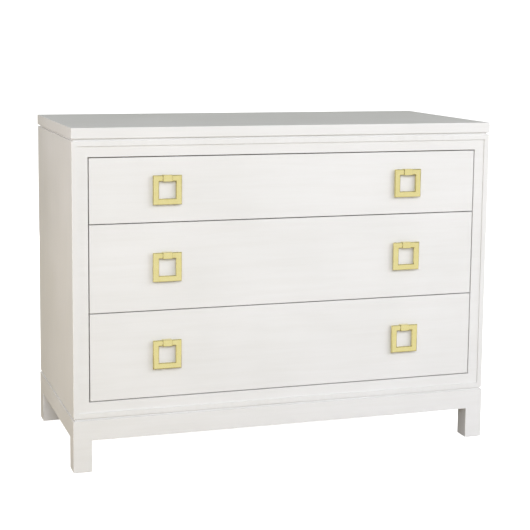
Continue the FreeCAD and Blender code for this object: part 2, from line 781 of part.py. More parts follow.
os.makedirs("parts", exist_ok=True)
for node, item in kept.items():
    if item.Shape.isNull() or not item.Shape.isValid() or not item.Shape.Solids:
        raise ValueError(f"{node} has no valid solid")
    item.Shape.exportStep(f"parts/{node}.step")
    print(f"{node}: {len(item.Shape.Solids)} solid(s), {item.Shape.Volume / 1000:.1f} cm3")
box = Part.makeCompound([item.Shape for item in kept.values()]).BoundBox
print(f"{len(kept)} sub-parts")
print(f"{box.XMin:.2f}..{box.XMax:.2f}, {box.YMin:.2f}..{box.YMax:.2f}, {box.ZMin:.2f}..{box.ZMax:.2f}")
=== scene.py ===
# %% [markdown]
# # A campaign chest with three drawers
# The chest is a white lacquered case on a square-legged base, with six square brass ring pulls.
# Its sizes come from a solid model that is loaded first and never moved. Each step below either gives
# a loaded part its finish, or makes a finer piece that stands in for it and moves with the same body.
# Blender works in metres, so every size that is given in millimetres is multiplied by MM.

# %% Load the solid model
import math

import bmesh
import bpy
from mathutils import Matrix, Vector


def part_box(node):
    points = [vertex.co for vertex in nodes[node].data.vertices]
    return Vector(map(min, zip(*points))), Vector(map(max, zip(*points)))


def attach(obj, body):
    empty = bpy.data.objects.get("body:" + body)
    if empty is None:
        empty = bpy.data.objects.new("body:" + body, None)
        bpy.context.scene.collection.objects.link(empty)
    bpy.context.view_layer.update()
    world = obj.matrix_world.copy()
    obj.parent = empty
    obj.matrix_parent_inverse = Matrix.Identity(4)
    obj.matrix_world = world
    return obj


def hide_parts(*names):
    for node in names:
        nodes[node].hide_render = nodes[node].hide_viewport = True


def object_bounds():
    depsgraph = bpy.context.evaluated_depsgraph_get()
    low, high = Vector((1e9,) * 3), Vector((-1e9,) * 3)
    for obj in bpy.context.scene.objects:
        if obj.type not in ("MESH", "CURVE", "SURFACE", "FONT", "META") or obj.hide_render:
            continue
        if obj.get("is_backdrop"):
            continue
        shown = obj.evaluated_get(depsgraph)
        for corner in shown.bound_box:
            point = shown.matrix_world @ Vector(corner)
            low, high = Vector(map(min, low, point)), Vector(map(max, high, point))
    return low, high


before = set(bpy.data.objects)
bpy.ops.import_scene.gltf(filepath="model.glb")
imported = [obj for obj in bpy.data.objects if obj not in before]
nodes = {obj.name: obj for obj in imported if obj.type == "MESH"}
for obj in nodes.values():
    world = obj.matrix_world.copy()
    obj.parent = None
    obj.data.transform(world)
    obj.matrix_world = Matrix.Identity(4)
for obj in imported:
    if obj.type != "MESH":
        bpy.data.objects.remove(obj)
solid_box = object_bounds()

MM = 0.001

# %% [markdown]
# ## The camera
# A long lens, a few metres off and a little to the left, shows the front nearly square and hardly spreads
# it. It stands above the top, to show the slab. Tilting it down to the chest would make the upright edges
# run together, so part of the tilt is done by shifting the lens, which keeps them nearly parallel. The
# Standard view transform leaves white lacquer white, where Blender's usual one would grey it.

# %% Camera
def show(item):
    """Puts an object in the scene."""
    bpy.context.scene.collection.objects.link(item)
    return item


lens = bpy.data.cameras.new("Lens")
lens.lens = 92
lens.shift_y = -0.1132
camera = show(bpy.data.objects.new("Camera", lens))
camera.location = (-1.0812, -3.3166, 1.0489)
camera.rotation_euler = [math.radians(angle) for angle in (82.579, -0.576, -18.229)]
bpy.context.scene.camera = camera
bpy.context.scene.view_settings.view_transform = "Standard"
chest_middle = (solid_box[0] + solid_box[1]) / 2
print("camera stands", round((camera.location - chest_middle).length, 2), "m away")

# %% [markdown]
# ## Node trees
# A material and a Geometry Nodes tree are both made of nodes, so one small helper adds a node to either.
# It sets the node's own choices first, because they decide which sockets it has. Then it writes each
# value to its socket, or links another node's output to it.

# %% Adding nodes
def add(tree, kind, inputs=None, **settings):
    """Adds a node with its settings, and with a value or a link for each input that is named."""
    node = tree.nodes.new(kind)
    for key, value in settings.items():
        setattr(node, key, value)
    for key, value in (inputs or {}).items():
        if isinstance(value, bpy.types.NodeSocket):
            tree.links.new(value, node.inputs[key])
        else:
            node.inputs[key].default_value = value
    return node


def finish(name):
    """A new material, its tree and its shader."""
    material = bpy.data.materials.new(name)
    material.use_nodes = True
    return material, material.node_tree, material.node_tree.nodes["Principled BSDF"]


print("two helpers for any tree of nodes")

# %% [markdown]
# ## Patterns
# No real surface is one even colour. Every finish below starts from noise in the piece's own Object
# coordinates, so it stays with the piece when a drawer moves. Scaling one axis down stretches the noise
# along it, which turns specks into grain. A ramp or a range then makes the noise a colour or a roughness.

# %% Patterns
def stretched_noise(tree, stretch, scale, detail=3.0, roughness=0.5, distortion=0.0):
    """Noise from 0 to 1, with about scale specks in a metre, drawn out along the axes of small stretch."""
    place = add(tree, "ShaderNodeTexCoord").outputs["Object"]
    mapped = add(tree, "ShaderNodeMapping", {"Vector": place, "Scale": stretch})
    wanted = {"Vector": mapped.outputs[0], "Scale": scale, "Detail": detail}
    wanted |= {"Roughness": roughness, "Distortion": distortion}
    return add(tree, "ShaderNodeTexNoise", wanted).outputs[0]


def between(tree, factor, low, high, start=0.3, end=0.7):
    """A colour that goes from low to high as the factor goes from start to end."""
    ramp = add(tree, "ShaderNodeValToRGB", {"Fac": factor})
    for element, place, colour in zip(ramp.color_ramp.elements, (start, end), (low, high)):
        element.position = place
        element.color = (*colour, 1)
    return ramp.outputs["Color"]


def scaled(tree, factor, low, high):
    """A number from low to high; 0.25 and 0.75 are about the least and the most that noise gives."""
    wanted = {"Value": factor, "From Min": 0.25, "From Max": 0.75, "To Min": low, "To Max": high}
    return add(tree, "ShaderNodeMapRange", wanted).outputs["Result"]


def darkened(tree, colour, marks, amount):
    """The colour times the marks, by an amount from 0 to 1."""
    wanted = {0: amount, "A": colour, "B": marks}
    return add(tree, "ShaderNodeMix", wanted, data_type="RGBA", blend_type="MULTIPLY").outputs["Result"]


def raised(tree, shader, height, strength, distance):
    """Bump on the shader, for relief too fine to model."""
    bump = add(tree, "ShaderNodeBump", {"Height": height, "Strength": strength, "Distance": distance})
    tree.links.new(bump.outputs[0], shader.inputs["Normal"])


print("five pattern helpers")

# %% [markdown]
# ## White lacquer
# Sprayed lacquer is an even, satin white. Close to, the wood's grain still shows as faint long streaks,
# and the film has the slight ripple of a sprayed coat. The streaks are noise stretched along the board,
# so each board's length needs its own material: along X for rails and drawer fronts, along Z for posts.

# %% Lacquer
def lacquer(name, stretch):
    """Satin white over grain that runs along the axis of small stretch."""
    material, tree, shader = finish(name)
    grain = stretched_noise(tree, stretch, 90, detail=5, roughness=0.6)
    cloud = stretched_noise(tree, (1, 1, 1), 5, detail=2)
    film = between(tree, cloud, (0.835, 0.83, 0.815), (0.865, 0.86, 0.85))
    lines = between(tree, grain, (0.96, 0.955, 0.945), (1, 1, 1), start=0.35, end=0.6)
    tree.links.new(darkened(tree, film, lines, 0.5), shader.inputs["Base Color"])
    tree.links.new(scaled(tree, cloud, 0.33, 0.42), shader.inputs["Roughness"])
    raised(tree, shader, grain, strength=0.25, distance=0.08 * MM)
    return material


LACQUER_ALONG_X = lacquer("LacquerAlongX", (0.06, 1, 1))
LACQUER_ALONG_Y = lacquer("LacquerAlongY", (1, 0.06, 1))
LACQUER_ALONG_Z = lacquer("LacquerAlongZ", (1, 1, 0.06))
print("lacquer in three grain directions,", len(LACQUER_ALONG_X.node_tree.nodes), "nodes each")

# %% [markdown]
# ## Bare hardwood
# The drawer boxes, blocks and packers are clear-finished hardwood. A tree grows in rings, so a Wave texture
# of rings round an axis outside the board gives its faces their long lines, and its end its curves. Noise
# stretched along the grain bends the rings, and short dark pores are scattered between them. Plywood is
# the same wood peeled off the log in a sheet: its rings are wide apart and wander far.

# %% Hardwood
HEART = (0.09, 0.11, 0.13)  # how far the middle of the rings is from the piece's own origin, in metres


def hardwood(name, stretch, pale, deep, ring=5.0, bend=14, axis="X"):
    """Wood with growth rings, ring mm apart and bent by noise, round an axis along its grain."""
    material, tree, shader = finish(name)
    place = add(tree, "ShaderNodeTexCoord").outputs["Object"]
    wander = [max(share, 0.2) for share in stretch]
    mapped = add(tree, "ShaderNodeMapping", {"Vector": place, "Scale": wander, "Location": HEART})
    rings_at_scale_1 = 2 * math.pi / 20  # metres from one ring of a Wave texture to the next
    wanted = {"Vector": mapped.outputs[0], "Scale": rings_at_scale_1 / (ring * MM), "Distortion": bend,
              "Detail": 3, "Detail Scale": 9, "Detail Roughness": 0.45}
    growth = add(tree, "ShaderNodeTexWave", wanted, wave_type="RINGS", rings_direction=axis,
                 wave_profile="SIN").outputs["Color"]
    streaks = stretched_noise(tree, stretch, 70, detail=4, roughness=0.6)
    pores = stretched_noise(tree, [share * 0.5 for share in stretch], 420, detail=2)
    lines = between(tree, growth, pale, deep, start=0.1, end=1.0)
    shades = between(tree, streaks, (0.86, 0.83, 0.79), (1, 1, 1), start=0.3, end=0.6)
    marks = between(tree, pores, (0.8, 0.74, 0.68), (1, 1, 1), start=0.32, end=0.45)
    body = darkened(tree, lines, shades, 0.8)
    tree.links.new(darkened(tree, body, marks, 0.6), shader.inputs["Base Color"])
    tree.links.new(scaled(tree, streaks, 0.42, 0.58), shader.inputs["Roughness"])
    raised(tree, shader, pores, strength=0.3, distance=0.1 * MM)
    return material


PALE, DEEP = (0.74, 0.57, 0.38), (0.66, 0.48, 0.31)
WOOD_ALONG_X = hardwood("WoodAlongX", (0.05, 1, 1), PALE, DEEP)
WOOD_ALONG_Y = hardwood("WoodAlongY", (1, 0.05, 1), PALE, DEEP, axis="Y")
END_GRAIN = hardwood("EndGrain", (1, 1, 1), (0.46, 0.32, 0.19), (0.36, 0.24, 0.14), ring=2.5, bend=1)
PLY = hardwood("Plywood", (0.04, 1, 1), (0.76, 0.62, 0.45), (0.70, 0.55, 0.39), ring=16, bend=30)
print("wood along X and Y, end grain and plywood,", len(PLY.node_tree.nodes), "nodes each")

# %% [markdown]
# ## Metals and plastic
# The pulls are polished brass under clear lacquer, the runners and screws are zinc-plated steel, and the
# glides are nylon. A metal's look is mostly what it reflects, so its noise changes its roughness more
# than its colour, and a finer noise gives it the faint waves that polishing leaves. Nylon gets the same
# treatment without the shine.

# %% Metals and plastic
def metal(name, low, high, smooth, rough, scale, wave, metallic=1):
    """A finish that varies from low and smooth to high and rough; wave is its relief, in mm."""
    material, tree, shader = finish(name)
    shader.inputs["Metallic"].default_value = metallic
    cloud = stretched_noise(tree, (1, 1, 1), scale)
    tree.links.new(between(tree, cloud, low, high), shader.inputs["Base Color"])
    tree.links.new(scaled(tree, cloud, smooth, rough), shader.inputs["Roughness"])
    relief = stretched_noise(tree, (1, 1, 1), scale * 9) if metallic else cloud
    raised(tree, shader, relief, strength=0.3, distance=wave * MM)
    return material


BRASS = metal("PolishedBrass", (0.85, 0.75, 0.34), (0.89, 0.80, 0.40), 0.08, 0.14, scale=60, wave=0.01)
ZINC = metal("ZincPlate", (0.55, 0.56, 0.57), (0.68, 0.68, 0.67), 0.28, 0.42, scale=90, wave=0.03)
SCREW_ZINC = metal("ScrewZinc", (0.6, 0.58, 0.52), (0.72, 0.7, 0.62), 0.25, 0.4, scale=300, wave=0.03)
NYLON = metal("Nylon", (0.5, 0.48, 0.44), (0.6, 0.58, 0.53), 0.45, 0.6, scale=200, wave=0.05, metallic=0)
print("brass, two zincs and nylon")

# %% [markdown]
# ## Finishing the solid parts
# A loaded part keeps its shape, and its finish goes in its material slots. Boards are finished along
# their own length. A part that a finer piece replaces further down is finished too, and stays hidden.

# %% Solid parts
LEGS = [f"leg_{end}_{side}" for end in ("front", "rear") for side in ("left", "right")]
FINISHES = {
    LACQUER_ALONG_X: ["top_slab", "top_spacer", "base_spacer", "case_floor", "case_ceiling",
                      "face_rail_bottom", "face_rail_top", "apron_front", "apron_rear"],
    LACQUER_ALONG_Y: ["apron_left", "apron_right"],
    LACQUER_ALONG_Z: ["side_panel_left", "side_panel_right", "face_stile_left", "face_stile_right", *LEGS],
    WOOD_ALONG_X: [], WOOD_ALONG_Y: ["corner_blocks", "runner_packers"], PLY: ["back_panel"],
    BRASS: [], ZINC: [], SCREW_ZINC: ["case_screws"], NYLON: ["foot_glides"],
}
DRAWER_FINISHES = {
    LACQUER_ALONG_X: ["front"], WOOD_ALONG_X: ["box_front", "box_back"], WOOD_ALONG_Y: ["box_sides"],
    PLY: ["box_floor"], BRASS: ["ring_left", "ring_right", "knuckles"], SCREW_ZINC: ["pull_bolts"],
    ZINC: ["runner_case", "runner_middle", "runner_drawer"],
}
for number in "123":
    for material, parts in DRAWER_FINISHES.items():
        FINISHES[material] += [f"drawer_{number}_{part}" for part in parts]
for material, parts in FINISHES.items():
    for part in parts:
        nodes[part].data.materials.clear()
        nodes[part].data.materials.append(material)
finished = sum(FINISHES.values(), [])
print(len(finished), "parts finished;", sorted(set(nodes) - set(finished)), "left")

# %% [markdown]
# ## Welding flush boards
# Lacquer bridges a flush joint: legs and aprons read as one piece, and so does the case. Boolean unions
# weld copies of the parts that are flush. A loaded mesh is loose triangles, and a union leaves seams in
# its flat faces, so doubled points are joined and flat faces merged, before the union and after it. A flat
# face then runs across several boards, so a welded piece has the finish of the boards that show the most.

# %% Welding
FLAT_ENOUGH = math.radians(0.5)


def merge_faces(mesh, distance):
    """Joins points nearer than a distance and melts the seams inside flat faces."""
    work = bmesh.new()
    work.from_mesh(mesh)
    bmesh.ops.remove_doubles(work, verts=work.verts, dist=distance)
    bmesh.ops.dissolve_limit(work, angle_limit=FLAT_ENOUGH, verts=work.verts, edges=work.edges)
    work.to_mesh(mesh)
    work.free()
    return mesh


def evaluated_mesh(piece):
    """The mesh that a piece's modifiers make, as a plain mesh of its own."""
    graph = bpy.context.evaluated_depsgraph_get()
    return bpy.data.meshes.new_from_object(piece.evaluated_get(graph))


def union_of(sources):
    """One mesh from flush parts, each copied first, because a loaded mesh is never changed."""
    first, *others = [bpy.data.objects.new("Part", merge_faces(nodes[source].data.copy(), 0.001 * MM))
                      for source in sources]
    show(first)
    for other in others:
        joint = first.modifiers.new("Joint", "BOOLEAN")
        joint.operation, joint.solver, joint.object = "UNION", "EXACT", other
    mesh = evaluated_mesh(first)
    for part in [first, *others]:
        bpy.data.objects.remove(part)
    return merge_faces(mesh, 0.01 * MM)


base_parts = [*LEGS, "apron_front", "apron_rear", "apron_left", "apron_right"]
base_mesh = union_of(base_parts)
print("the base's", len(base_parts), "boards weld to", len(base_mesh.polygons), "faces")

# %% [markdown]
# ## Easing the edges
# Nobody leaves an arris sharp: it is sanded round before it is sprayed, and then it catches a thin line of
# light. A live Bevel does this to every edge over 50 degrees. On its own it would bend the shading of the
# flat faces too, so Weighted Normal, by face area, keeps them flat. Each piece rides on its body and
# replaces the solid parts that it is made of.

# %% Easing
def new_piece(name, mesh, body, replaced=()):
    """A piece in the scene that rides on a body and stands for solid parts."""
    piece = show(bpy.data.objects.new(name, mesh))
    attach(piece, body)
    if replaced:
        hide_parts(*replaced)
    return piece


def ease_edges(piece, radius, segments):
    """Rounds a piece's arrises, radius in mm, and keeps its flat faces flat to the light."""
    ease = piece.modifiers.new("Ease", "BEVEL")
    ease.width, ease.segments, ease.limit_method = radius * MM, segments, "ANGLE"
    ease.angle_limit = math.radians(50)
    flat = piece.modifiers.new("Flat faces", "WEIGHTED_NORMAL")
    flat.mode, flat.weight = "FACE_AREA", 100


def eased(name, sources, finishes, radius=0.8, body="case", second=None, mesh=None):
    """One piece from flush parts, rounded by radius mm; faces that second() picks take the second finish."""
    mesh = mesh or union_of(sources)
    mesh.materials.clear()
    for material in finishes:
        mesh.materials.append(material)
    for face in mesh.polygons:
        face.material_index = 1 if second and second(face) else 0
    mesh.shade_smooth()
    piece = new_piece(name, mesh, body, sources)
    ease_edges(piece, radius, segments=3)
    return piece


base = eased("BaseFrame", base_parts, [LACQUER_ALONG_X], mesh=base_mesh)
rounded = base.evaluated_get(bpy.context.evaluated_depsgraph_get()).data
print(base.name, "has", len(rounded.polygons), "faces once its edges are round")

# %% [markdown]
# ## Case, face frame and top
# The case is lacquered outside and bare wood inside, so the shell's inner faces take a second material.
# They are found by their places: on or inside the inner faces of the floor, the ceiling and the sides.
# The face frame's arrises are a little sharper than the case's, and the slab is rounded like the case.

# %% Case, face frame and top
hollow_low, hollow_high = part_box("case_floor")[1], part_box("case_ceiling")[0]
NEAR = 0.1 * MM


def faces_inward(face):
    """Whether a face of the shell looks into its hollow, where the wood is left bare."""
    spot = face.center
    across = abs(spot.x) < hollow_low.x + NEAR
    upright = hollow_low.z - NEAR < spot.z < hollow_high.z + NEAR
    return across and upright and abs(face.normal.y) < 0.5


shell = eased("CaseShell", ["side_panel_left", "side_panel_right", "case_floor", "case_ceiling"],
              [LACQUER_ALONG_Z, WOOD_ALONG_Y], second=faces_inward)
eased("FaceFrame", ["face_stile_left", "face_stile_right", "face_rail_bottom", "face_rail_top"],
      [LACQUER_ALONG_X], radius=0.6)
eased("TopBoard", ["top_slab"], [LACQUER_ALONG_X])
bare = sum(face.material_index for face in shell.data.polygons)
print("case shell:", bare, "of", len(shell.data.polygons), "faces are bare wood")

# %% [markdown]
# ## Drawer fronts and knuckles
# A drawer front is one lacquered board, with crisp edges that keep the gaps round it thin. The knuckle
# blocks that carry its rings are cast brass, with edges dulled by polishing. Both ride on their drawer.

# %% Drawer fronts and knuckles
for number in "123":
    drawer, node = f"drawer_{number}", f"drawer_{number}_"
    eased(f"Drawer{number}Front", [node + "front"], [LACQUER_ALONG_X], 0.5, drawer)
    eased(f"Drawer{number}Knuckles", [node + "knuckles"], [BRASS], 0.6, drawer)
low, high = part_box("drawer_1_front")
print("top drawer front:", round((high.x - low.x) / MM), "by", round((high.z - low.z) / MM), "mm")

# %% [markdown]
# ## Dovetailed boards
# A board shows long grain on its faces and dark, speckled end grain where it was cut across. On a
# dovetailed corner the two meet, which is what makes the tails stand out. So each board's faces across its
# length take the end-grain finish, and a fine bevel on each board draws the joint's lines.

# %% Drawer boxes
GRAINS = (("front", WOOD_ALONG_X, 0), ("back", WOOD_ALONG_X, 0), ("sides", WOOD_ALONG_Y, 1))
for number in "123":
    for part, grain, axis in GRAINS:
        eased(f"Drawer{number}Box{part.title()}", [f"drawer_{number}_box_{part}"], [grain, END_GRAIN], 0.3,
              f"drawer_{number}", lambda face, axis=axis: abs(face.normal[axis]) > 0.7)

# %% [markdown]
# ## Sums in a tree
# A Geometry Nodes tree works out its sizes with Math and Vector Math nodes. Two helpers make such a node
# and give back its answer, so that a formula reads nearly like one in Python. Two more open a tree with
# named inputs, and close it with Realize Instances and Set Material, because only real geometry with a
# material of its own can leave Blender.

# %% Sums in a tree
def maths(tree, operation, *values):
    """The answer of a Math node."""
    return add(tree, "ShaderNodeMath", dict(enumerate(values)), operation=operation).outputs[0]


def vectors(tree, operation, *values):
    """The answer of a Vector Math node; SCALE takes a vector and a number, the others vectors."""
    sockets = ("Vector", "Scale") if operation == "SCALE" else (0, 1)
    node = add(tree, "ShaderNodeVectorMath", dict(zip(sockets, values)), operation=operation)
    return node.outputs["Value" if operation == "DOT_PRODUCT" else "Vector"]


def new_tree(name, **inputs):
    """A tree with a geometry input and an input of each name and kind, and its input sockets."""
    tree = bpy.data.node_groups.new(name, "GeometryNodeTree")
    sockets = {"Geometry": "Geometry"} | inputs
    for key, kind in sockets.items():
        tree.interface.new_socket(key.replace("_", " "), in_out="INPUT", socket_type=f"NodeSocket{kind}")
    tree.interface.new_socket("Geometry", in_out="OUTPUT", socket_type="NodeSocketGeometry")
    return tree, tree.nodes.new("NodeGroupInput").outputs


def end_tree(tree, geometry, material):
    """Makes copies real, gives them their material and hands them over."""
    real = add(tree, "GeometryNodeRealizeInstances", {"Geometry": geometry})
    ready = add(tree, "GeometryNodeSetMaterial", {"Geometry": real.outputs[0], "Material": material})
    add(tree, "NodeGroupOutput", {0: ready.outputs[0]})


print("four helpers for Geometry Nodes")

# %% [markdown]
# ## Bending a grid
# A grid is the handiest start for a tree that makes a new shape: each point knows its row and column, and
# from those its new place can be worked out. The points are numbered one row after another, so a number
# divided by the row's length gives the row, and what is left over gives the column. Half a point is added
# first, so that a tiny error in the division can't drop a point into the row before.

# %% Bending a grid
def grid_place(tree, columns):
    """The row and the column of each point of a grid, both from 0."""
    index = add(tree, "GeometryNodeInputIndex").outputs[0]
    row = maths(tree, "FLOOR", maths(tree, "DIVIDE", maths(tree, "ADD", index, 0.5), columns))
    return row, maths(tree, "FLOORED_MODULO", index, columns)


def bent(tree, grid, place, distance):
    """The grid with its points at their places, and with points that meet joined."""
    moved = add(tree, "GeometryNodeSetPosition", {"Geometry": grid.outputs["Mesh"], "Position": place})
    wanted = {"Geometry": moved.outputs[0], "Distance": distance}
    return add(tree, "GeometryNodeMergeByDistance", wanted).outputs[0]


print("two helpers for grids")

# %% [markdown]
# ## A mitred bar
# Each ring is a square brass bar, mitred at its corners and cut away at the top for its block. A curve
# swept by Curve to Mesh gets thinner at square corners, so this tree moves the points of a grid instead:
# one row of points for each corner of the path, one column for each point of the rounded section. The
# row's outward step is the two bars' normals added and divided by one plus their dot product, which
# keeps a mitre's full width. Two extra rows of no size close the ends.

# %% The mitre at each corner
def path_corner(tree, line, station):
    """A corner's place, and the outward step for a width of one, from the path's points beside it."""
    position = add(tree, "GeometryNodeInputPosition").outputs[0]

    def at(step):
        wanted = {"Geometry": line, "Value": position, "Index": maths(tree, "ADD", station, step)}
        return add(tree, "GeometryNodeSampleIndex", wanted, data_type="FLOAT_VECTOR", clamp=True).outputs[0]

    here = at(0)
    before = vectors(tree, "NORMALIZE", vectors(tree, "SUBTRACT", here, at(-1)))
    after = vectors(tree, "NORMALIZE", vectors(tree, "SUBTRACT", at(1), here))
    out_before = vectors(tree, "CROSS_PRODUCT", before, (0, 1, 0))
    out_after = vectors(tree, "CROSS_PRODUCT", after, (0, 1, 0))
    share = maths(tree, "ADD", vectors(tree, "DOT_PRODUCT", out_before, out_after), 1)
    both = vectors(tree, "ADD", out_before, out_after)
    return here, vectors(tree, "SCALE", both, maths(tree, "DIVIDE", 1, share))


print("at a square corner the outward step is", round(math.sqrt(2), 2), "times that of a straight bar")

# %% [markdown]
# ## The bar's section
# The section is a rectangle with rounded corners. A quarter of its points belong to each corner, spread
# over a quarter turn. Each point lies half the flat side away from the middle, plus the edge radius
# along its own direction, and the cosine and the sine give the two ways of that.

# %% The bar's section
def section_point(tree, column, points, sizes, edge):
    """How far each column lies from the bar's middle, across it and into its depth."""
    quarter = maths(tree, "DIVIDE", points, 4)
    corner = maths(tree, "FLOOR", maths(tree, "DIVIDE", maths(tree, "ADD", column, 0.5), quarter))
    along = maths(tree, "DIVIDE", maths(tree, "FLOORED_MODULO", column, quarter),
                  maths(tree, "SUBTRACT", quarter, 1))
    turn = maths(tree, "MULTIPLY", maths(tree, "ADD", corner, along), math.pi / 2)
    middle = maths(tree, "MULTIPLY", maths(tree, "ADD", corner, 0.5), math.pi / 2)
    steps = []
    for size, function in zip(sizes, ("COSINE", "SINE")):
        flat = maths(tree, "SUBTRACT", maths(tree, "DIVIDE", size, 2), edge)
        side = maths(tree, "MULTIPLY", maths(tree, "SIGN", maths(tree, function, middle)), flat)
        steps.append(maths(tree, "ADD", side, maths(tree, "MULTIPLY", maths(tree, function, turn), edge)))
    return steps


def mitred_bar_tree():
    """Sweeps a rounded section along a line in the XZ plane, with mitred corners and closed ends."""
    tree, given = new_tree("MitredBar", Width="Float", Depth="Float", Edge_Radius="Float",
                           Section_Points="Int", Finish="Material")
    line, points = given["Geometry"], given["Section Points"]
    corners = add(tree, "GeometryNodeAttributeDomainSize", {"Geometry": line}).outputs["Point Count"]
    columns = maths(tree, "ADD", points, 1)
    grid = add(tree, "GeometryNodeMeshGrid",
               {"Vertices X": maths(tree, "ADD", corners, 2), "Vertices Y": columns})
    row, column = grid_place(tree, columns)
    row, column = maths(tree, "SUBTRACT", row, 1), maths(tree, "FLOORED_MODULO", column, points)
    last = maths(tree, "SUBTRACT", corners, 1)
    station = maths(tree, "MINIMUM", maths(tree, "MAXIMUM", row, 0), last)
    here, outward = path_corner(tree, line, station)
    sizes = given["Width"], given["Depth"]
    across, deep = section_point(tree, column, points, sizes, given["Edge Radius"])
    on_path = maths(tree, "COMPARE", maths(tree, "SUBTRACT", row, station), 0, 0.5)
    sideways = vectors(tree, "SCALE", outward, maths(tree, "MULTIPLY", across, on_path))
    inward = add(tree, "ShaderNodeCombineXYZ", {"Y": maths(tree, "MULTIPLY", deep, on_path)}).outputs[0]
    place = vectors(tree, "ADD", here, vectors(tree, "ADD", sideways, inward))
    end_tree(tree, bent(tree, grid, place, 0.001 * MM), given["Finish"])
    return tree


MITRED_BAR = mitred_bar_tree()
print(MITRED_BAR.name, "has", len(MITRED_BAR.nodes), "nodes")

# %% [markdown]
# ## Running a tree
# A tree works inside a modifier. A carrier object holds the mesh that it starts from, the inputs are set
# by their sockets' identifiers, and the result is taken off as a plain mesh. The carrier and its modifier
# are then thrown away, so that a finished piece is nothing but a mesh. Its faces are turned outwards.

# %% Running a tree
def run_tree(name, mesh, tree, **values):
    """The mesh that a tree makes of another mesh."""
    carrier = show(bpy.data.objects.new(name, mesh))
    step = carrier.modifiers.new(name, "NODES")
    step.node_group = tree
    known = {item.name.replace(" ", "_"): item.identifier for item in tree.interface.items_tree
             if item.in_out == "INPUT"}
    for key, value in values.items():
        step[known[key]] = value
    made = evaluated_mesh(carrier)
    bpy.data.objects.remove(carrier)
    return made


def outwards(mesh, more=lambda work: None):
    """Adds more to a mesh, turns all its faces outwards and shades it smooth."""
    work = bmesh.new()
    work.from_mesh(mesh)
    more(work)
    bmesh.ops.recalc_face_normals(work, faces=work.faces)
    work.to_mesh(mesh)
    work.free()
    mesh.shade_smooth()
    return mesh


print("inputs:", [item.name for item in MITRED_BAR.interface.items_tree if item.in_out == "INPUT"])

# %% [markdown]
# ## Six ring pulls
# A ring hangs in front of its drawer from a knuckle block, and swings up on two short pivots in line
# with its top bar. Its box in the solid model gives its place, and its bar's middle line is half a bar
# inside that. The line starts and ends beside the knuckle. Each pivot is a cylinder that reaches from just
# inside the bar's end into the knuckle's bore.

# %% Six ring pulls
RING_BAR, RING_THICK, RING_EDGE = 14.5 * MM, 7 * MM, 2.4 * MM
HALF_GAP = 11.7 * MM  # from the ring's middle to the cut end of its bar
PIVOT_RADIUS, PIVOT_TIP, PIVOT_ROOT = 3 * MM, 5.9 * MM, 11.8 * MM  # the last two from the ring's middle


def ring_path(low, high):
    """The line that a ring's bar follows, from one side of its gap round to the other, and its middle."""
    left, right = low.x + RING_BAR / 2, high.x - RING_BAR / 2
    foot, top = low.z + RING_BAR / 2, high.z - RING_BAR / 2
    centre, deep = (low.x + high.x) / 2, (low.y + high.y) / 2
    spots = [(centre - HALF_GAP, top), (left, top), (left, foot), (right, foot), (right, top),
             (centre + HALF_GAP, top)]
    mesh = bpy.data.meshes.new("RingPath")
    mesh.from_pydata([(x, deep, z) for x, z in spots], [(n, n + 1) for n in range(len(spots) - 1)], [])
    return mesh, Vector((centre, deep, top))


def add_pivots(work, middle):
    """Two pivots along X, one on either side of the ring's middle."""
    for side in (1, -1):
        spot = middle + Vector((side * (PIVOT_TIP + PIVOT_ROOT) / 2, 0, 0))
        place = Matrix.Translation(spot) @ Matrix.Rotation(math.pi / 2, 4, "Y")
        bmesh.ops.create_cone(work, cap_ends=True, segments=24, radius1=PIVOT_RADIUS, radius2=PIVOT_RADIUS,
                              depth=PIVOT_ROOT - PIVOT_TIP, matrix=place)


for number in "123":
    for side in ("left", "right"):
        node = f"drawer_{number}_ring_{side}"
        low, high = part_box(node)
        path, middle = ring_path(low, high)
        bar = run_tree("Bar", path, MITRED_BAR, Width=RING_BAR, Depth=RING_THICK, Edge_Radius=RING_EDGE,
                       Section_Points=28, Finish=BRASS)
        mesh = outwards(bar, lambda work, middle=middle: add_pivots(work, middle))
        ring = new_piece(f"Drawer{number}Ring{side.title()}", mesh, f"ring_{number}_{side}", [node])
        ease_edges(ring, 0.4, segments=2)
print("ring:", len(mesh.vertices), "points,", round((high.x - low.x) / MM, 1), "mm wide")

# %% [markdown]
# ## Screws, bolts and glides
# A pan-head screw is turned on a lathe and then punched with a cross. The tree bends a grid of points
# into that dome, one row for each step up it and one column for each step round. Each point follows a
# squared-off circle, which gives the flat top and tight shoulder of a pan head. The same tree, with a
# rounder dome and no cross, makes the foot glides.

# %% The dome of a screw's head
def dome_place(tree, given, steps, sides):
    """The place of each point of a grid that wraps round a dome."""
    row, column = grid_place(tree, sides + 1)
    around = maths(tree, "MULTIPLY", column, -2 * math.pi / sides)
    step = maths(tree, "MAXIMUM", maths(tree, "SUBTRACT", row, 1), 0)
    rise = maths(tree, "MULTIPLY", step, math.pi / 2 / steps)
    power = maths(tree, "DIVIDE", 2, given["Squareness"])
    spread = maths(tree, "POWER", maths(tree, "MAXIMUM", maths(tree, "COSINE", rise), 0.0001), power)
    lift = maths(tree, "POWER", maths(tree, "SINE", rise), power)
    beyond_middle = maths(tree, "GREATER_THAN", row, 0.5)
    radius = maths(tree, "MULTIPLY", maths(tree, "MULTIPLY", spread, given["Radius"]), beyond_middle)
    return add(tree, "ShaderNodeCombineXYZ", {
        "X": maths(tree, "MULTIPLY", radius, maths(tree, "COSINE", around)),
        "Y": maths(tree, "MULTIPLY", radius, maths(tree, "SINE", around)),
        "Z": maths(tree, "MULTIPLY", lift, given["Height"])}).outputs[0]


print("a head's rows: 0 is the middle of its underside, 1 its rim, and the last its top")

# %% [markdown]
# ## The cross and the shank
# Two crossed boxes, cut out of the dome with a Mesh Boolean, leave the cross for the driver. A plain
# cylinder below the head is enough for the shank, because it is sunk in the wood.

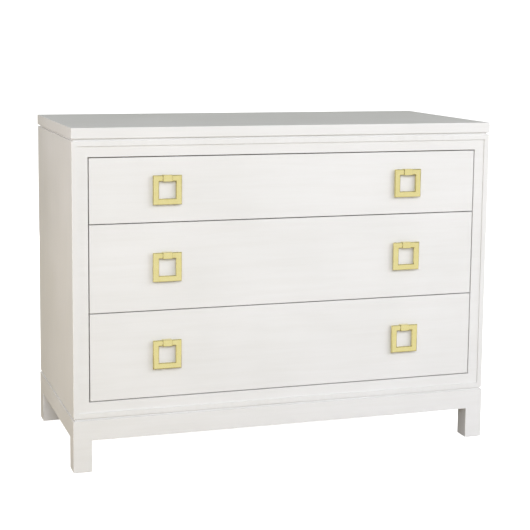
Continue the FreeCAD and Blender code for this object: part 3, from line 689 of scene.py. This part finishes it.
# %% The cross and the shank
CROSS_LONG, CROSS_NARROW = 1.15, 0.24  # a cross's arm, in radii of its head


def crossed(tree, given, dome):
    """The dome with a cross cut into its top."""
    long = maths(tree, "MULTIPLY", given["Radius"], CROSS_LONG)
    narrow = maths(tree, "MULTIPLY", given["Radius"], CROSS_NARROW)
    tall = maths(tree, "MULTIPLY", given["Cross Depth"], 2)
    top = add(tree, "ShaderNodeCombineXYZ", {"Z": given["Height"]}).outputs[0]
    cut = add(tree, "GeometryNodeMeshBoolean", {"Mesh 1": dome}, operation="DIFFERENCE")
    for x, y in ((long, narrow), (narrow, long)):
        size = add(tree, "ShaderNodeCombineXYZ", {"X": x, "Y": y, "Z": tall}).outputs[0]
        arm = add(tree, "GeometryNodeMeshCube", {"Size": size}).outputs[0]
        placed = add(tree, "GeometryNodeTransform", {"Geometry": arm, "Translation": top})
        tree.links.new(placed.outputs[0], cut.inputs["Mesh 2"])
    return cut.outputs["Mesh"]


def with_shank(tree, given, head):
    """The head with its shank below it."""
    shank = add(tree, "GeometryNodeMeshCylinder", {
        "Vertices": 12, "Radius": given["Shank Radius"], "Depth": given["Shank Length"]}).outputs["Mesh"]
    middle = maths(tree, "MULTIPLY", given["Shank Length"], -0.5)
    down = add(tree, "ShaderNodeCombineXYZ", {"Z": middle}).outputs[0]
    sunk = add(tree, "GeometryNodeTransform", {"Geometry": shank, "Translation": down}).outputs[0]
    whole = add(tree, "GeometryNodeJoinGeometry")
    tree.links.new(head, whole.inputs[0])
    tree.links.new(sunk, whole.inputs[0])
    return whole.outputs[0]


print("a cross is", round(CROSS_LONG / CROSS_NARROW, 1), "times as long as its arms are wide")

# %% [markdown]
# ## A head at every point
# A chest has many screws that are all alike, so one head is copied to every point of a small mesh. Each
# point carries a direction called facing, which the head is aimed along, and a random turn about it keeps
# the crosses apart, as on a real chest. The turn comes from a fixed seed, so it is the same every time.

# %% A tree that sets a turned head at every point
def turned_head_tree(steps=6, sides=18):
    """Copies a turned head to each point that it is given, in few faces, because there are many."""
    tree, given = new_tree("TurnedHeads", Radius="Float", Height="Float", Squareness="Float",
                           Cross_Depth="Float", Shank_Radius="Float", Shank_Length="Float", Seed="Int",
                           Finish="Material")
    grid = add(tree, "GeometryNodeMeshGrid", {"Vertices X": steps + 2, "Vertices Y": sides + 1})
    dome = bent(tree, grid, dome_place(tree, given, steps, sides), 0.01 * MM)
    whole = with_shank(tree, given, crossed(tree, given, dome))
    facing = add(tree, "GeometryNodeInputNamedAttribute", {"Name": "facing"}, data_type="FLOAT_VECTOR")
    aim = add(tree, "FunctionNodeAlignRotationToVector", {"Vector": facing.outputs[0]}, axis="Z")
    spin = add(tree, "FunctionNodeRandomValue", {"Seed": given["Seed"]}, data_type="FLOAT").outputs["Value"]
    own_turn = add(tree, "ShaderNodeCombineXYZ", {"Z": maths(tree, "MULTIPLY", spin, math.pi)}).outputs[0]
    turn = add(tree, "FunctionNodeRotateRotation", {"Rotation": aim.outputs[0], "Rotate By": own_turn},
               rotation_space="LOCAL")
    copies = add(tree, "GeometryNodeInstanceOnPoints", {
        "Points": given["Geometry"], "Instance": whole, "Rotation": turn.outputs[0]})
    end_tree(tree, copies.outputs[0], given["Finish"])
    return tree


TURNED_HEADS = turned_head_tree()
print(TURNED_HEADS.name, "has", len(TURNED_HEADS.nodes), "nodes")

# %% [markdown]
# ## Screws in the case
# Six screws come up through the case's ceiling into the slab, four go up through the corner blocks, and
# the back panel has one every 130 to 180 mm round its rebate. The heads sit on the faces that they pull
# on, so these faces are read from the parts' boxes.

# %% Screws in the case
DOWN, BACK = (0, 0, -1), (0, 1, 0)


def turned_heads(name, spots, radius, height, shank, body, finish=SCREW_ZINC, replaced=(),
                 squareness=3.2, cross=0.55):
    """Heads at spots, a list of (place, facing); places, radius, height and shank length are in mm."""
    points = bpy.data.meshes.new(name + "Points")
    points.from_pydata([[size * MM for size in place] for place, facing in spots], [], [])
    facing = points.attributes.new("facing", "FLOAT_VECTOR", "POINT")
    facing.data.foreach_set("vector", [value for spot in spots for value in spot[1]])
    mesh = run_tree(name, points, TURNED_HEADS, Radius=radius * MM, Height=height * MM,
                    Squareness=squareness, Cross_Depth=cross * height * MM, Shank_Radius=radius * MM / 2,
                    Shank_Length=shank * MM, Seed=len(name), Finish=finish)
    outwards(mesh).set_sharp_from_angle(angle=math.radians(35))
    return new_piece(name, mesh, body, replaced)


def box_mm(node):
    """A solid part's lowest and highest corner, in mm."""
    low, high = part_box(node)
    return low / MM, high / MM


CASE_SCREW_X, CASE_SCREW_Y = (-479.5, 0, 479.5), (-188.5, 198.5)
ceiling, block = box_mm("case_ceiling")[0].z, box_mm("corner_blocks")[0].z
spots = [((x, y, ceiling), DOWN) for x in CASE_SCREW_X for y in CASE_SCREW_Y]
spots += [((x, y, block), DOWN) for x in CASE_SCREW_X[::2] for y in CASE_SCREW_Y]
turned_heads("CaseScrews", spots, 4.2, 2.6, 36, "case", replaced=["case_screws"])

BACK_EDGE_X, BACK_EDGE_Z = (-518.2, 518.2), (146.1, 774.5)
back = box_mm("back_panel")[1].y
edge = [(x, z) for x in BACK_EDGE_X for z in (200, 330, 460.3, 591, 721)]
edge += [(x, z) for x in (-450, -270, -90, 90, 270, 450) for z in BACK_EDGE_Z]
turned_heads("BackScrews", [((x, back, z), BACK) for x, z in edge], 3.2, 1.7, 5, "case")
print(len(spots), "screws under the slab and in the blocks,", len(edge), "in the back panel")

# %% [markdown]
# ## Screws in the drawers
# Each runner is screwed to the box's side by three screws, whose heads lie inside the runner's channel.
# Each drawer front is held from inside its box by eight, beside the heads of its two pull bolts, which
# run through the front into the knuckles.

# %% Screws in the drawers
RUNNER_FACE = 483.2  # where the heads rest on each runner, from the chest's middle
PULL_X = 307.5
for number in "123":
    drawer, low_high = f"drawer_{number}", box_mm(f"drawer_{number}_runner_drawer")
    middle = (low_high[0].z + low_high[1].z) / 2
    spots = [((side * RUNNER_FACE, y, middle), (side, 0, 0)) for side in (-1, 1) for y in (-190, -20, 150)]
    turned_heads(f"Drawer{number}RunnerScrews", spots, 3.4, 1.8, 6, drawer)
    low, high = box_mm(f"drawer_{number}_box_front")
    spots = [((x, high.y, low.z + (high.z - low.z) * share), BACK)
             for x in (-430, -160, 160, 430) for share in (0.3, 0.7)]
    turned_heads(f"Drawer{number}FrontScrews", spots, 3.8, 2, 8, drawer)
    bolt_low, bolt_high = box_mm(f"drawer_{number}_pull_bolts")
    spots = [((x, high.y, (bolt_low.z + bolt_high.z) / 2), BACK) for x in (-PULL_X, PULL_X)]
    turned_heads(f"Drawer{number}PullBolts", spots, 4.5, 2.4, 38.7, drawer,
                 replaced=[f"drawer_{number}_pull_bolts"])
print("the lowest pulls' bolts are", round((bolt_low.z + bolt_high.z) / 2), "mm above the floor")

# %% [markdown]
# ## Foot glides
# A nylon glide is a low button under each leg, with a pin that is driven into the wood. It is wider and
# rounder than a screw's head, so it takes other numbers, and a cross of no depth.

# %% Foot glides
GLIDE_RADIUS = 11
low, high = box_mm("foot_glides")
feet = [((x, y, high.z), DOWN) for x in (low.x + GLIDE_RADIUS, high.x - GLIDE_RADIUS)
        for y in (low.y + GLIDE_RADIUS, high.y - GLIDE_RADIUS)]
turned_heads("FootGlides", feet, GLIDE_RADIUS, 2, 12, "case", NYLON, ["foot_glides"],
             squareness=2.6, cross=0)
print(len(feet), "glides,", round(high.z, 1), "mm tall")

# %% [markdown]
# ## Floor and wall
# A white chest is shown best on a white floor that runs back and turns up into the wall, so that no
# horizon cuts it. The bowl is made straight from a list of radius and height pairs, and it glows, which
# keeps it an even white. It lies a tenth of a millimetre under the glides. It is seen by the camera
# alone: left to give light, a bowl this bright would wash out every shadow on the chest.

# %% Floor and wall
def bowl(name, curve, glow, sides=48):
    """A round floor turned from a curve of (radius, height) pairs, and its shader."""
    corners = [(radius * math.cos(turn), radius * math.sin(turn), z) for radius, z in curve
               for turn in (2 * math.pi * side / sides for side in range(sides))]
    faces = [list(range(sides))]
    for first in range(0, (len(curve) - 1) * sides, sides):
        for side in range(sides):
            after = (side + 1) % sides
            faces.append([first + sides + side, first + sides + after, first + after, first + side])
    mesh = bpy.data.meshes.new(name)
    mesh.from_pydata(corners, [], faces)
    mesh.shade_smooth()
    material, _, shader = finish(name)
    shader.inputs["Roughness"].default_value = 0.9
    shader.inputs["Emission Color"].default_value = (1, 1, 1, 1)
    shader.inputs["Emission Strength"].default_value = glow
    mesh.materials.append(material)
    made = show(bpy.data.objects.new(name, mesh))
    made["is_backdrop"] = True
    return made, shader


FLOOR_RADIUS, BEND_RADIUS, WALL_TOP = 6.5, 2.5, 9
bend = [math.pi / 2 * step / 12 for step in range(13)]
curve = [(FLOOR_RADIUS + BEND_RADIUS * math.sin(turn), BEND_RADIUS - BEND_RADIUS * math.cos(turn) - 0.1 * MM)
         for turn in bend]
curve.append((FLOOR_RADIUS + BEND_RADIUS, WALL_TOP))
floor, floor_shader = bowl("Floor", curve, glow=0.95)
floor_shader.inputs["Base Color"].default_value = (0.9, 0.9, 0.9, 1)
floor.visible_diffuse = floor.visible_glossy = floor.visible_shadow = False
print("floor:", len(floor.data.polygons), "faces")

# %% [markdown]
# ## What the floor throws back
# A studio floor sends a soft, warm light up at the base. A second disc, which the camera doesn't see, does
# that by plain reflection. Its left side is warmer, so the left legs turn a little creamy and the right
# stay neutral, which keeps a white piece from looking like a paper cut-out.

# %% Warm floor light
WARM, NEUTRAL = (0.40, 0.32, 0.15), (0.42, 0.38, 0.33)
disc = [(9, -1 * MM), (13, -1 * MM)]
bounce, bounce_shader = bowl("Bounce", disc, glow=0)
bounce_tree = bounce_shader.id_data
bounce.visible_camera = False
place = add(bounce_tree, "ShaderNodeTexCoord").outputs["Object"]
along = add(bounce_tree, "ShaderNodeSeparateXYZ", {0: place}).outputs["X"]
share = add(bounce_tree, "ShaderNodeMapRange", {"Value": along, "From Min": -0.9, "From Max": 0.3})
tint = between(bounce_tree, share.outputs["Result"], WARM, NEUTRAL, start=0, end=1)
bounce_tree.links.new(tint, bounce_shader.inputs["Base Color"])
print("the floor light goes from warm to neutral over 1.2 m")

# %% [markdown]
# ## A white card for the brass
# Polished brass shows what stands round it, and in an empty room it would look dark, so a white card is
# set up for it. It lies on the floor before the chest and stands up at its far edge. Only reflections see
# it, so it brightens the rings and hardly touches the satin lacquer.

# %% White card
CARD_SIDES, CARD_PROFILE = (-3.4, 3.2), ((-0.9, 0.002), (-4.2, 0.002), (-4.2, 2.0))
card_mesh = bpy.data.meshes.new("WhiteCard")
card_mesh.from_pydata([(x, y, z) for x in CARD_SIDES for y, z in CARD_PROFILE], [],
                      [(0, 3, 4, 1), (1, 4, 5, 2)])
material, _, shader = finish("WhiteCard")
shader.inputs["Base Color"].default_value = (0, 0, 0, 1)
shader.inputs["Specular IOR Level"].default_value = 0
shader.inputs["Emission Color"].default_value = (1, 1, 0.97, 1)
shader.inputs["Emission Strength"].default_value = 0.9
card_mesh.materials.append(material)
card = show(bpy.data.objects.new("WhiteCard", card_mesh))
card.visible_camera = card.visible_diffuse = card.visible_shadow = False
card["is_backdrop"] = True
print("white card:", round(CARD_SIDES[1] - CARD_SIDES[0], 1), "m wide")

# %% [markdown]
# ## Lights
# The main light stands far behind the camera and above it: from there it reaches both ends of the chest
# alike, and each ring hides its own shadow. A weak one at the right front shapes the edges. A small lamp
# close to the left side makes it brighter in front than behind, and broad soft lights keep the right side
# and the back readable from where they are seen. No lamp shows in the lacquer's gloss. The room's own
# even light fills the rest.

# %% Lights
def soft_light(name, place, target, size, power, colour=(1, 1, 1)):
    """A rectangular lamp, its size in metres and its power in watts, turned to its target."""
    light = bpy.data.lights.new(name, "AREA")
    light.shape = "RECTANGLE"
    light.size, light.size_y = size
    light.energy, light.color = power, colour
    lamp = show(bpy.data.objects.new(name, light))
    lamp.location = place
    lamp.rotation_euler = (Vector(target) - Vector(place)).to_track_quat("-Z", "Y").to_euler()
    lamp.visible_camera = lamp.visible_glossy = False
    return lamp


soft_light("LeftKey", (-2, -8.3, 4.25), (0, 0, 0.45), (4.6, 3.3), 450, (0.92, 0.935, 1))
soft_light("RightKey", (2.3, -2.7, 1.9), (0, 0, 0.5), (2.8, 2.6), 50, (0.93, 0.94, 1))
soft_light("LeftFill", (-1.5, -0.35, 0.75), (-0.53, -0.3, 0.45), (0.3, 0.9), 4.5, (1, 0.94, 0.99))
soft_light("LeftSoft", (-3.4, 0.4, 1.3), (0, 0, 0.4), (1.8, 1.8), 9, (1, 0.97, 0.98))
soft_light("RightSoft", (3.2, 0.6, 0.7), (0, 0, 0.3), (1.8, 1.2), 22)
soft_light("RearSoft", (0.9, 3.4, 0.8), (0, 0, 0.4), (2.4, 1.2), 34)
world = bpy.data.worlds.new("Room")
world.use_nodes = True
world.node_tree.nodes["Background"].inputs["Color"].default_value = (0.985, 1, 0.93, 1)
world.node_tree.nodes["Background"].inputs["Strength"].default_value = 0.345
bpy.context.scene.world = world
print(len(bpy.data.lights), "lamps")

# %% [markdown]
# ## Sizes
# The dressed chest has to keep the solid model's size, so its size is printed here.

# %% Finish
low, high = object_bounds()
print("dressed:", [round(size / MM, 1) for size in high - low], "mm")
